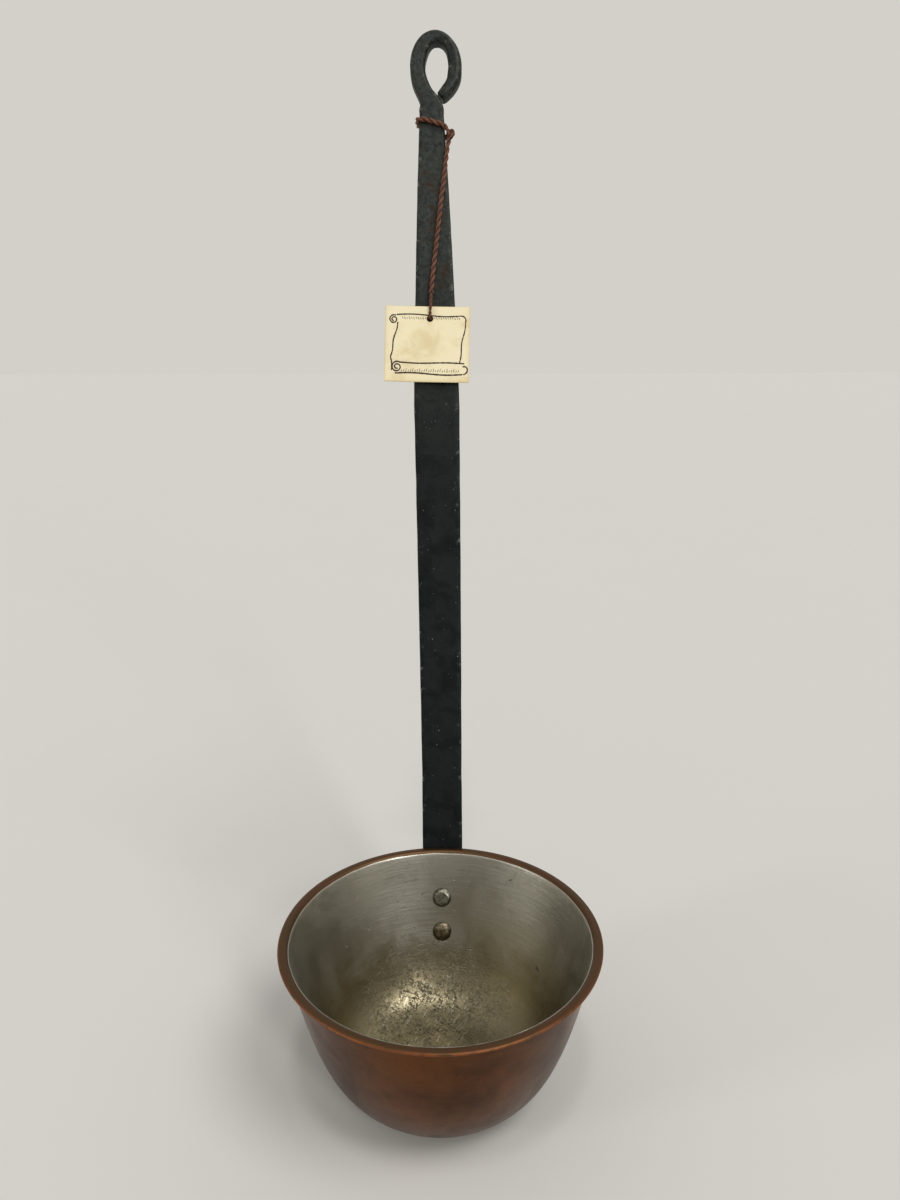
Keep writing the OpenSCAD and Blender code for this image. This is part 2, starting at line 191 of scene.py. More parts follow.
class Wall:
    """The bowl's wall as a curve of (radius, height), and the bend of its lip."""

    FLARE = math.radians(13)
    BEND_RADIUS = 1.0 * MM
    LIP_OUT = 3.4 * MM
    BASE_RUN = 29 * MM
    WALL_RUN = 48 * MM
    DROOP = math.radians(6)

    def __init__(self, bowl):
        radius = bowl.lip_radius - self.LIP_OUT
        top = bowl.height - bowl.sheet - self.BEND_RADIUS * (1 - math.sin(self.FLARE))
        end = Vector((radius, top))
        self.line = [
            Vector((bowl.base_radius, 0)),
            Vector((bowl.base_radius + self.BASE_RUN, 0)),
            end - self.WALL_RUN * Vector((math.sin(self.FLARE), math.cos(self.FLARE))),
            end,
        ]
        self.centre = Vector(
            (radius + self.BEND_RADIUS * math.cos(self.FLARE), bowl.height - bowl.sheet - self.BEND_RADIUS)
        )
        self.end_turn = math.pi / 2 + self.DROOP

    def out(self, t):
        """The way out of the wall, square to it."""
        way = bezier_way(self.line, t)
        return Vector((way.y, -way.x))

    def at(self, t, depth=0.0):
        return bezier(self.line, t) - depth * self.out(t)

    def bend(self, turn, depth=0.0):
        return self.centre + (self.BEND_RADIUS + depth) * Vector((-math.cos(turn), math.sin(turn)))

    def at_height(self, z):
        """The t at which the outside of the wall has that height."""
        low, high = 0.0, 1.0
        for _ in range(40):
            middle = (low + high) / 2
            low, high = (middle, high) if bezier(self.line, middle).y < z else (low, middle)
        return low


# Meshes


def skin(rings, ends=None):
    """Faces over rings of as many points each: closed by a point at both ends, or into a loop."""
    m = len(rings[0])
    points = [p for ring in rings for p in ring]
    faces = []
    for i in range(len(rings) - (1 if ends else 0)):
        a, b = i * m, (i + 1) % len(rings) * m
        faces += [(a + j, a + (j + 1) % m, b + (j + 1) % m, b + j) for j in range(m)]
    if ends:
        last = (len(rings) - 1) * m
        first_end, last_end = len(points), len(points) + 1
        points += list(ends)
        faces += [(first_end, (j + 1) % m, j) for j in range(m)]
        faces += [(last_end, last + j, last + (j + 1) % m) for j in range(m)]
    return points, faces


def joined(parts):
    """Several (points, faces) as one."""
    points, faces = [], []
    for p, f in parts:
        faces += [tuple(i + len(points) for i in face) for face in f]
        points += p
    return points, faces


def add_piece(name, shape, material, body, nodes=(), marks=None):
    """A mesh piece that rides on a body and stands for CAD nodes. marks holds numbers for its points."""
    points, faces = shape
    mesh = bpy.data.meshes.new(name)
    mesh.from_pydata([tuple(p) for p in points], [], faces)
    made = bmesh.new()
    made.from_mesh(mesh)
    bmesh.ops.recalc_face_normals(made, faces=made.faces)
    made.to_mesh(mesh)
    made.free()
    for mark, values in (marks or {}).items():
        mesh.attributes.new(mark, "FLOAT", "POINT").data.foreach_set("value", values)
    mesh.polygons.foreach_set("use_smooth", [True] * len(mesh.polygons))
    mesh.materials.append(material)
    piece = bpy.data.objects.new(name, mesh)
    bpy.context.scene.collection.objects.link(piece)
    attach(piece, body)
    if nodes:
        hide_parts(*nodes)
    return piece


def smooth_line(points, step):
    """Points at even steps along a smooth curve through the given ones."""
    fine = []
    last = len(points) - 1
    for i in range(last):
        a, b, c, d = (points[min(max(k, 0), last)] for k in (i - 1, i, i + 1, i + 2))
        for k in range(24):
            t = k / 24
            fine.append(
                0.5 * (
                    2 * b + (c - a) * t + (2 * a - 5 * b + 4 * c - d) * t * t + (3 * b - a - 3 * c + d) * t**3
                )
            )
    fine.append(points[last])
    run = [0.0]
    for a, b in zip(fine, fine[1:]):
        run.append(run[-1] + (b - a).length)
    count = max(2, round(run[-1] / step))
    line, k = [], 0
    for i in range(count + 1):
        at = run[-1] * i / count
        while k < len(run) - 2 and run[k + 1] < at:
            k += 1
        share = (at - run[k]) / max(run[k + 1] - run[k], 1e-12)
        line.append(fine[k].lerp(fine[k + 1], min(1, share)))
    return line


def frames(line, side, loop=False):
    """For each point of a line: the point, and two directions across it that don't twist."""
    rows = []
    last = len(line) - 1
    for i, p in enumerate(line):
        if loop:
            way = (line[(i + 1) % len(line)] - line[i - 1]).normalized()
        else:
            way = (line[min(i + 1, last)] - line[max(i - 1, 0)]).normalized()
        side = (side - side.dot(way) * way).normalized()
        rows.append((p, side, way.cross(side)))
    return rows


def thread(line, side, radius, twist=0.0, loop=False, sides=12, plies=3):
    """One thread along a line: a tube whose surface shows its own plies."""
    rings, grooves = [], []
    for i, (p, u, v) in enumerate(frames(line, side, loop)):
        end = 1.0 if loop else min(1.0, math.sqrt(max(0.0, min(i, len(line) - 1 - i) + 0.35) / 2.2))
        ring = []
        for j in range(sides):
            a = TURN * j / sides
            crown = math.cos(plies * (a - twist * i))
            r = radius * end * (0.91 + 0.09 * crown)
            ring.append(p + r * (math.cos(a) * u + math.sin(a) * v))
            grooves.append(0.5 - 0.5 * crown)
        rings.append(ring)
    if loop:
        return *skin(rings), grooves
    points, faces = skin(rings, (line[0], line[-1]))
    return points, faces, grooves + [0.5, 0.5]


def two_ply(line, side, diameter, lay, step):
    """Two threads twisted round each other along a line, and how deep in the groove each point is."""
    ply = 0.3 * diameter
    offset = diameter / 2 - ply
    turn = TURN * step / lay
    parts, grooves = [], []
    for start in (0.0, math.pi):
        core = [
            p + offset * (math.cos(start + turn * i) * u + math.sin(start + turn * i) * v)
            for i, (p, u, v) in enumerate(frames(line, side))
        ]
        points, faces, own = thread(core, side, ply, twist=-0.9 * step / ply)
        rows = [p for p in line for _ in range(12)] + [line[0], line[-1]]
        reach = [(q - c).length / (diameter / 2) for q, c in zip(points, rows)]
        parts.append((points, faces))
        # The groove mark drives painted shade: high in each thread's own grooves and where the two threads
        # press together.
        grooves += [min(1, 0.35 * g + 1.2 * max(0, 1 - r)) for g, r in zip(own, reach)]
    points, faces = joined(parts)
    return (points, faces), grooves


# Materials


def add_node(tree, kind, inputs=None, **settings):
    """Adds a shader node. An input is a value, or (node, output) to link from."""
    made = tree.nodes.new(kind)
    for key, value in settings.items():
        setattr(made, key, value)
    for key, value in (inputs or {}).items():
        if isinstance(value, tuple) and isinstance(value[0], bpy.types.Node):
            tree.links.new(value[0].outputs[value[1]], made.inputs[key])
        else:
            made.inputs[key].default_value = value
    return made


def new_material(name):
    material = bpy.data.materials.new(name)
    material.use_nodes = True
    material.node_tree.nodes.clear()
    return material, material.node_tree


def finish_material(tree, **inputs):
    """Principled shader with its inputs, where _ stands for a space, and the output."""
    shader = add_node(tree, "ShaderNodeBsdfPrincipled", {k.replace("_", " "): v for k, v in inputs.items()})
    add_node(tree, "ShaderNodeOutputMaterial", {"Surface": (shader, 0)})
    return shader


def blend_colors(tree, share, a, b):
    return add_node(tree, "ShaderNodeMix", {0: share, 6: a, 7: b}, data_type="RGBA"), 2


def spread(tree, value, low, high, to_low=0.0, to_high=1.0):
    """A value from low to high, made to run smoothly from to_low to to_high."""
    inputs = {0: value, 1: low, 2: high, 3: to_low, 4: to_high}
    return add_node(tree, "ShaderNodeMapRange", inputs, interpolation_type="SMOOTHSTEP"), 0


def times(tree, a, b):
    return add_node(tree, "ShaderNodeMath", {0: a, 1: b}, operation="MULTIPLY"), 0


def noise_at(tree, place, size, detail=3.0, rough=0.55, warp=0.0):
    """Noise whose blotches are about size metres across."""
    inputs = {"Vector": place, "Scale": 1 / size, "Detail": detail, "Roughness": rough, "Distortion": warp}
    return add_node(tree, "ShaderNodeTexNoise", inputs), 0


def own_place(tree):
    """Places on the mesh itself, in metres."""
    return add_node(tree, "ShaderNodeTexCoord"), "Object"


def mesh_mark(tree, name):
    """The number that a mesh holds for each of its points under a name."""
    return add_node(tree, "ShaderNodeAttribute", attribute_name=name), "Fac"


def relief(tree, strength, depth, height, over=None, **settings):
    """Small relief of a depth in metres, laid over another one if there is one."""
    inputs = {"Strength": strength, "Distance": depth, "Height": height}
    if over:
        inputs["Normal"] = over
    return add_node(tree, "ShaderNodeBump", inputs, **settings), 0


def scratches(tree, place, degrees):
    """Thin bent lines about a centimetre long, turned by an angle about +Z."""
    turn = (0, 0, math.radians(degrees))
    wavy = add_node(
        tree,
        "ShaderNodeVectorMath",
        {0: (noise_at(tree, place, 0.02, 1)[0], "Color"), "Scale": 0.009},
        operation="SCALE",
    )
    bent = add_node(tree, "ShaderNodeVectorMath", {0: place, 1: (wavy, 0)}, operation="ADD")
    inputs = {"Vector": (bent, 0), "Rotation": turn, "Scale": (14, 1, 3)}
    drawn = add_node(tree, "ShaderNodeMapping", inputs, vector_type="TEXTURE")
    return spread(tree, noise_at(tree, (drawn, 0), 0.0007, 1, 0.5), 0.65, 0.7)


def round_place(tree, mark, stretch):
    """Places on a turned surface, drawn out along its turns by stretch and kept apart by the mark."""
    place = add_node(tree, "ShaderNodeTexCoord")
    flat = add_node(tree, "ShaderNodeVectorMath", {0: (place, "Object"), 1: (1, 1, 0)}, operation="MULTIPLY")
    unit = add_node(tree, "ShaderNodeVectorMath", {0: (flat, 0)}, operation="NORMALIZE")
    ring = add_node(tree, "ShaderNodeVectorMath", {0: (unit, 0), "Scale": 0.06 / stretch}, operation="SCALE")
    run = add_node(tree, "ShaderNodeAttribute", attribute_name=mark)
    up = add_node(tree, "ShaderNodeCombineXYZ", {"Z": (run, "Fac")})
    return add_node(tree, "ShaderNodeVectorMath", {0: (ring, 0), 1: (up, 0)}, operation="ADD"), 0


def raised_copper(bowl):
    """Copper sheet, raised and planished, then aged: satin, with soft waves and a browner skin on the lip."""
    material, tree = new_material("aged_raised_copper")
    place = own_place(tree)
    rings = round_place(tree, "run", 14)
    lip = mesh_mark(tree, "lip")
    wear = mesh_mark(tree, "wear")
    clouds = noise_at(tree, place, 0.03, 4, 0.6, 0.4)
    mottle = noise_at(tree, place, 0.005, 4, 0.65)
    polish = noise_at(tree, rings, 0.0011, 3, 0.6)
    body = blend_colors(tree, spread(tree, clouds, 0.35, 0.68), tuple(bowl.copper), tuple(bowl.copper_dark))
    body = blend_colors(tree, spread(tree, mottle, 0.5, 0.8, 0, 0.35), body, srgb("#6f4224"))
    skin_tone = blend_colors(
        tree, spread(tree, noise_at(tree, place, 0.012), 0.4, 0.65), tuple(bowl.copper_lip), srgb("#5d4230")
    )
    body = blend_colors(tree, lip, body, skin_tone)
    # Brighter copper on the lip's rounded edge: worn copper there, and a painted highlight line along the
    # edge.
    body = blend_colors(tree, times(tree, wear, spread(tree, mottle, 0.3, 0.6)), body, srgb("#8a5230"))
    flecks = spread(tree, noise_at(tree, place, 0.0016, 2, 0.5), 0.7, 0.76)
    body = blend_colors(tree, times(tree, flecks, 0.55), body, srgb("#3a2114"))
    rough = add_node(
        tree, "ShaderNodeMath", {0: spread(tree, clouds, 0.3, 0.75, 0.26, 0.38), 1: times(tree, lip, 0.14)},
        operation="ADD",
    )
    grain = relief(tree, 0.12, 0.0004, polish)
    grain = relief(tree, 0.1, 0.0006, mottle, grain)
    finish_material(tree, Base_Color=body, Metallic=1.0, Roughness=(rough, 0), Normal=grain)
    return material


def wiped_tin(bowl):
    """Tin wiped over hot copper: grey and streaked round the wall, paler high up with a painted reflection of
    the room, dull and pitted where food stood.
    """
    material, tree = new_material("wiped_tin")
    place = own_place(tree)
    run = mesh_mark(tree, "run")
    streak = noise_at(tree, round_place(tree, "run", 9), 0.0016, 4, 0.62)
    clouds = noise_at(tree, place, 0.022, 4, 0.6, 0.6)
    height = add_node(tree, "ShaderNodeMath", {0: run, 1: times(tree, clouds, 0.03)}, operation="ADD")
    # Paler tin high on the wall is a painted reflection of the bright room; lower down the tin is dulled by
    # food and gets none of it.
    dull = spread(tree, (height, 0), 0.075, 0.102, 1, 0)
    body = blend_colors(tree, dull, tuple(bowl.tin_clean_and_reflecting), tuple(bowl.tin_dull))
    shine = times(tree, spread(tree, streak, 0.52, 0.75, 0, 0.4), spread(tree, dull, 0, 1, 1, 0.25))
    body = blend_colors(tree, shine, body, srgb("#c2c0b2"))
    body = blend_colors(tree, spread(tree, clouds, 0.55, 0.8, 0, 0.5), body, srgb("#6d6449"))
    # Pits gather where the ladle was scraped: low in the bowl, below the handle
    off = add_node(tree, "ShaderNodeVectorMath", {0: place, 1: (-0.004, 0.026, 0.005)}, operation="DISTANCE")
    zone = spread(tree, (off, 1), 0.012, 0.052, 1, 0)
    cluster = times(tree, zone, spread(tree, noise_at(tree, place, 0.007, 3, 0.65, 0.8), 0.36, 0.54))
    fine = noise_at(tree, place, 0.0015, 5, 0.75, 1.2)
    pits = times(tree, cluster, spread(tree, fine, 0.51, 0.57))
    lone = spread(tree, noise_at(tree, place, 0.0028, 2, 0.5, 0.5), 0.71, 0.745, 0, 0.75)
    marks = add_node(tree, "ShaderNodeMath", {0: pits, 1: lone}, operation="MAXIMUM")
    # Scratches from scouring run across the same place, bright ones over dark ones
    for degrees, tone in ((25, "#4a4433"), (-50, "#3d3829"), (65, "#b9b7a6"), (-20, "#423c2d")):
        lines = times(tree, zone, scratches(tree, place, degrees))
        body = blend_colors(tree, times(tree, lines, 0.6), body, srgb(tone))
    body = blend_colors(tree, times(tree, (marks, 0), 0.85), body, tuple(bowl.tin_pit))
    rough = add_node(
        tree,
        "ShaderNodeMath",
        {0: spread(tree, clouds, 0.3, 0.7, 0.3, 0.42), 1: times(tree, (marks, 0), 0.3)},
        operation="ADD",
    )
    metal = spread(tree, (marks, 0), 0, 1, 1, 0.35)
    grain = relief(tree, 0.16, 0.0005, streak)
    grain = relief(tree, 0.5, 0.0003, (marks, 0), grain, invert=True)
    finish_material(tree, Base_Color=body, Metallic=metal, Roughness=(rough, 0), Normal=grain)
    return material


def forged_iron(handle):
    """Mild steel forged by hand: black scale with a blue-green cast, paler high up with painted sheen, bare
    at worn edges.
    """
    material, tree = new_material("forged_iron_black_scale")
    place = own_place(tree)
    up = (add_node(tree, "ShaderNodeSeparateXYZ", {0: place}), "Z")
    edge = mesh_mark(tree, "edge")
    clouds = noise_at(tree, place, 0.011, 5, 0.62, 0.5)
    mottle = noise_at(tree, place, 0.0024, 4, 0.65)
    body = blend_colors(tree, spread(tree, clouds, 0.4, 0.66), tuple(handle.scale), srgb("#1b1f1f"))
    # Painted sheen: the scale is made paler high up, where light catches the upper strap.
    high = spread(tree, up, 0.25, 0.42)
    body = blend_colors(
        tree, times(tree, high, spread(tree, mottle, 0.35, 0.7, 0.25, 0.9)), body, tuple(handle.scale_painted_sheen)
    )
    bloom = times(
        tree,
        spread(tree, up, 0.33, 0.4),
        spread(tree, noise_at(tree, place, 0.007, 4, 0.6, 0.3), 0.5, 0.68, 0, 0.7),
    )
    bloom = times(tree, bloom, spread(tree, up, 0.44, 0.47, 1, 0.2))
    body = blend_colors(tree, bloom, body, tuple(handle.rust))
    worn = times(tree, edge, spread(tree, noise_at(tree, place, 0.0035, 3, 0.6), 0.58, 0.7, 0, 0.5))
    body = blend_colors(tree, worn, body, tuple(handle.bare))
    specks = spread(tree, noise_at(tree, place, 0.0011, 2, 0.5), 0.735, 0.77)
    body = blend_colors(tree, times(tree, specks, 0.6), body, srgb("#a9a698"))
    rough = spread(tree, mottle, 0.3, 0.7, 0.46, 0.66)
    grain = relief(tree, 0.35, 0.0005, clouds)
    grain = relief(tree, 0.3, 0.0003, mottle, grain)
    finish_material(tree, Base_Color=body, Metallic=1.0, Roughness=rough, Normal=grain)
    return material


def rivet_metal(name, light, dark, rough):
    """Rivet head, hammered cold and then tinned or worn: mottled pale and dark, with painted shade round its
    foot.
    """
    material, tree = new_material(name)
    place = own_place(tree)
    foot = mesh_mark(tree, "foot")
    mottle = noise_at(tree, place, 0.0016, 4, 0.65, 0.3)
    body = blend_colors(tree, spread(tree, mottle, 0.38, 0.66), srgb(light), srgb(dark))
    # Painted shade: near black round the foot, where the head meets the wall.
    body = blend_colors(tree, foot, body, srgb("#1f1c15"))
    grain = relief(tree, 0.3, 0.0003, mottle)
    finish_material(
        tree,
        Base_Color=body,
        Metallic=1.0,
        Roughness=spread(tree, mottle, 0.3, 0.7, rough, rough + 0.15),
        Normal=grain,
    )
    return material


def twisted_thread(string):
    """Dyed cotton thread, spun and doubled: matt, paler on the crowns, with painted shade dark between the
    threads.
    """
    material, tree = new_material("dyed_cotton_thread")
    place = own_place(tree)
    groove = mesh_mark(tree, "groove")
    fibre = noise_at(tree, place, 0.0007, 3, 0.6)
    tone = blend_colors(
        tree, spread(tree, noise_at(tree, place, 0.01), 0.35, 0.65), tuple(string.dye), srgb("#774526")
    )
    # Painted shade: the dye darkens in the grooves and where the threads meet.
    body = blend_colors(tree, spread(tree, groove, 0.15, 0.8), tone, tuple(string.groove_shade))
    body = blend_colors(tree, spread(tree, fibre, 0.5, 0.75, 0, 0.4), body, srgb("#805238"))
    grain = relief(tree, 0.5, 0.0002, fibre)
    finish_material(
        tree, Base_Color=body, Roughness=0.85, Normal=grain, Sheen_Weight=0.08, Sheen_Roughness=0.5
    )
    return material


def cream_board(tag):
    """Uncoated board: matt cream with fine fibres, yellowed in patches and along its edges."""
    material, tree = new_material("uncoated_cream_board")
    place = own_place(tree)
    rim = mesh_mark(tree, "rim")
    fibre = noise_at(tree, place, 0.0006, 4, 0.7)
    stain = noise_at(tree, place, 0.014, 3, 0.6, 0.4)
    body = blend_colors(tree, spread(tree, stain, 0.45, 0.75, 0, 0.55), tuple(tag.card), tuple(tag.card_old))
    body = blend_colors(tree, times(tree, rim, 0.55), body, tuple(tag.card_old))
    body = blend_colors(tree, spread(tree, fibre, 0.55, 0.8, 0, 0.3), body, srgb("#f6efd2"))
    spots = spread(tree, noise_at(tree, place, 0.0022, 2, 0.5), 0.73, 0.78, 0, 0.5)
    body = blend_colors(tree, spots, body, srgb("#a88c57"))
    grain = relief(tree, 0.25, 0.0002, fibre)
    finish_material(tree, Base_Color=body, Roughness=0.9, Normal=grain)
    return material


def printing_ink(tag):
    """Ink pressed into board: matt, and thin where the board's fibres stand up."""
    material, tree = new_material("printing_ink")
    place = own_place(tree)
    cover = noise_at(tree, place, 0.0007, 3, 0.6)
    body = blend_colors(tree, spread(tree, cover, 0.55, 0.75, 0, 0.2), tuple(tag.ink), srgb("#7a654a"))
    finish_material(tree, Base_Color=body, Roughness=0.7)
    return material


def pale_floor(stage):
    """Matt painted board: even and pale, with the faintest mottle."""
    material, tree = new_material("pale_matt_paint")
    place = own_place(tree)
    tone = blend_colors(
        tree, spread(tree, noise_at(tree, place, 0.3), 0.3, 0.7, 0, 0.04), tuple(stage.floor), srgb("#c4c1b9")
    )
    finish_material(tree, Base_Color=tone, Roughness=0.9)
    return material


# Operators, one for each piece or group of like pieces


class LADLE_OT_stage(bpy.types.Operator):
    """Make the camera, the lights, the room's even light and the floor"""

    bl_idname = "ladle.stage"
    bl_label = "Stage"

    def execute(self, context):
        scene, stage = context.scene, context.scene.ladle_stage
        lens = bpy.data.cameras.new("camera")
        lens.lens, lens.sensor_width = 27.04, 36
        lens.clip_start, lens.clip_end = 0.01, 60
        camera = bpy.data.objects.new("camera", lens)
        pitch, roll = math.radians(15.68), math.radians(-0.125)
        camera.matrix_world = (
            Matrix.Translation((4.7 * MM, -362.1 * MM, 340 * MM))
            @ Euler((math.pi / 2 - pitch, 0, 0)).to_matrix().to_4x4()
            @ Matrix.Rotation(roll, 4, "Z")
        )
        scene.collection.objects.link(camera)
        scene.camera = camera

        # Soft suns light the floor evenly. The faint ones put the glints and pale patches into the tin.
        for name, way, strength, degrees in (
            ("soft_sun", (0.5, -0.35, 1.0), stage.key, 26),
            ("faint_overhead", (0.0, -0.4, 1.5), 0.32 * stage.key, 7),
            ("faint_front", (0.55, -1.1, 0.85), 0.26 * stage.key, 7),
            ("faint_low_right", (0.62, -1.0, 0.38), 0.5 * stage.key, 12),
            ("faint_low_left", (-1.2, -0.5, 0.36), 0.5 * stage.key, 12),
        ):
            sun = bpy.data.lights.new(name, "SUN")
            sun.energy, sun.angle = strength, math.radians(degrees)
            lamp = bpy.data.objects.new(name, sun)
            lamp.rotation_euler = Vector(way).to_track_quat("Z", "Y").to_euler()
            scene.collection.objects.link(lamp)

        world = bpy.data.worlds.new("even_room")
        scene.world = world
        world.use_nodes = True
        tree = world.node_tree
        tree.nodes.clear()
        path = add_node(tree, "ShaderNodeLightPath")
        seen = add_node(
            tree,
            "ShaderNodeMath",
            {0: (path, "Is Camera Ray"), 1: (path, "Is Glossy Ray")},
            operation="MAXIMUM",
        )
        seen = add_node(
            tree, "ShaderNodeMath", {0: (seen, 0), 1: (path, "Is Transmission Ray")}, operation="MAXIMUM"
        )
        room = add_node(tree, "ShaderNodeBackground", {"Color": srgb("#ffffff"), "Strength": stage.sky})
        back = add_node(tree, "ShaderNodeBackground", {"Color": tuple(stage.floor), "Strength": 1.035})
        both = add_node(tree, "ShaderNodeMixShader", {0: (seen, 0), 1: (room, 0), 2: (back, 0)})
        add_node(tree, "ShaderNodeOutputWorld", {"Surface": (both, 0)})
        scene.view_settings.view_transform = "Standard"

        half = 12.0
        mesh = bpy.data.meshes.new("floor")
        mesh.from_pydata(
            [(-half, -half, 0), (half, -half, 0), (half, half, 0), (-half, half, 0)], [], [(0, 1, 2, 3)]
        )
        mesh.materials.append(pale_floor(stage))
        floor = bpy.data.objects.new("floor", mesh)
        scene.collection.objects.link(floor)
        return {"FINISHED"}


def collar_points(handle, string):
    """The collar's way round the neck: it dips to the right, where both ends meet the hitch."""
    neck_s = (KNOT - on_strap(0, 0)).dot(ALONG)
    rise, dip_front, dip_back, bow = 8.8 * MM, 4.4 * MM, 7.2 * MM, 1.7
    off = string.diameter / 2 - 0.15 * MM
    half_w = strap_width(handle, neck_s) / 2 + 0.45 * off
    half_t = strap_thickness(handle, neck_s + rise) / 2 + off
    corner = off + 0.4 * MM
    middle = strap_x(neck_s)

    def place(x, n, dip):
        share = min(1, max(0, (x / half_w + 1) / 2))
        return on_strap(middle + x, neck_s + rise - dip * share**bow, n)

    def turn(side, face, degrees, dip):
        a = math.radians(degrees)
        return place(
            side * (half_w - corner) + corner * math.cos(a),
            face * (half_t - corner) + corner * math.sin(a),
            dip,
        )

    ends = [place(half_w - corner, half_t, dip_front), place(half_w, 0, dip_back)]
    clear = 1.2 * MM
    return (
        [KNOT + clear * (ends[0] - KNOT).normalized(), ends[0]]
        + [place(half_w / 3, half_t, dip_front), place(-half_w / 3, half_t, dip_front)]
        + [turn(-1, 1, a, dip_front) for a in (90, 112.5, 135, 157.5, 180)]
        + [turn(-1, -1, a, dip_back) for a in (202.5, 225, 247.5, 270)]
        + [place(-half_w / 3, -half_t, dip_back), place(half_w / 3, -half_t, dip_back)]
        + [turn(1, -1, a, dip_back) for a in (-90, -67.5, -45, -22.5)]
        + [ends[1], KNOT + clear * (ends[1] - KNOT).normalized()]
    )


# The hanging stretch in millimetres from the hitch: aside and down, as the part has it
DROP_ROUTE = (
    (-1.5, -6), (-2.3, -12), (-3, -18), (-3.7, -24), (-4.5, -30), (-5.3, -36), (-6, -42), (-6.6, -48),
    (-7.2, -54), (-7.9, -60), (-8.6, -66), (-9.3, -72), (-9.9, -78), (-10.5, -84), (-10.9, -88.5),
)
STRING_STEP = 0.3 * MM


def drop_points():
    route = [KNOT + x * MM * ACROSS + s * MM * ALONG for x, s in DROP_ROUTE]
    start = KNOT + 2.7 * MM * (route[0] - KNOT).normalized()
    return [start] + route


class LADLE_OT_string(bpy.types.Operator):
    """Twist the string: its hanging stretch, its loop through the card, the hitch and the collar"""

    bl_idname = "ladle.string"
    bl_label = "String"

    def execute(self, context):
        string, handle = context.scene.ladle_string, context.scene.ladle_handle
        cotton = twisted_thread(string)
        line = smooth_line(drop_points(), STRING_STEP)
        shape, grooves = two_ply(line, FRONT, string.diameter, string.lay, STRING_STEP)
        drop = add_piece(
            "string_hanging", shape, cotton, "string", ["string_drop"], {"groove": grooves}
        )

        top, hole = line[-1], HOLE
        out = 0.3 * MM + 0.3 * MM + string.thread / 2
        half = [
            (0, string.thread / 2), (0.22, out), (0.6, out), (0.86, out - 0.05 * MM), (0.96, out - 0.55 * MM)
        ]
        way = [top.lerp(hole, share) + n * FRONT for share, n in half]
        way += [hole] + [top.lerp(hole, share) - n * FRONT for share, n in reversed(half)]
        # Pulled through the hole, the string is squeezed to two thirds
        squeezed = 0.65 * string.diameter
        shape, grooves = two_ply(
            smooth_line(way, STRING_STEP), ACROSS, squeezed, 0.65 * string.lay, STRING_STEP
        )
        loop = add_piece(
            "string_through_card", shape, cotton, "string", ["string_loop"], {"groove": grooves}
        )

        # The hitch: an overhand knot, pulled tight
        count = 150
        turns = [TURN * i / count for i in range(count)]
        knot = [
            KNOT
            + (math.sin(t) + 2 * math.sin(2 * t)) * 0.52 * MM * ACROSS
            + (math.cos(t) - 2 * math.cos(2 * t)) * 0.72 * MM * ALONG
            - math.sin(3 * t) * 0.85 * MM * FRONT
            for t in turns
        ]
        points, faces, grooves = thread(knot, FRONT, 1.0 * MM, twist=TURN / 3 * 7 / count, loop=True)
        add_piece(
            "string_hitch", (points, faces), cotton, "hitch", ["string_knot"], {"groove": grooves}
        )

        line_round = smooth_line(collar_points(handle, string), STRING_STEP)
        shape, grooves = two_ply(line_round, ALONG, string.diameter, string.lay, STRING_STEP)
        add_piece(
            "string_round_neck", shape, cotton, "ladle", ["string_collar"], {"groove": grooves}
        )

        return {"FINISHED"}


def card_place(tag, x, y, out):
    """A point of the card from its metres right of and above the hole, and over the card's middle."""
    tilt = math.radians(-1.4)
    across = math.cos(tilt) * ACROSS + math.sin(tilt) * ALONG
    up = math.cos(tilt) * ALONG - math.sin(tilt) * ACROSS
    middle_x, middle_y = -1.2 * MM, 6.8 * MM - tag.height / 2
    u, v = (x - middle_x) / (tag.width / 2), (y - middle_y) / (tag.height / 2)
    bow = tag.bow * (0.75 * u * u + 0.25 * u * v * v + 0.2 * v * v * (v < 0)) - 0.1 * MM
    return HOLE + x * across + y * up + (out + bow) * FRONT


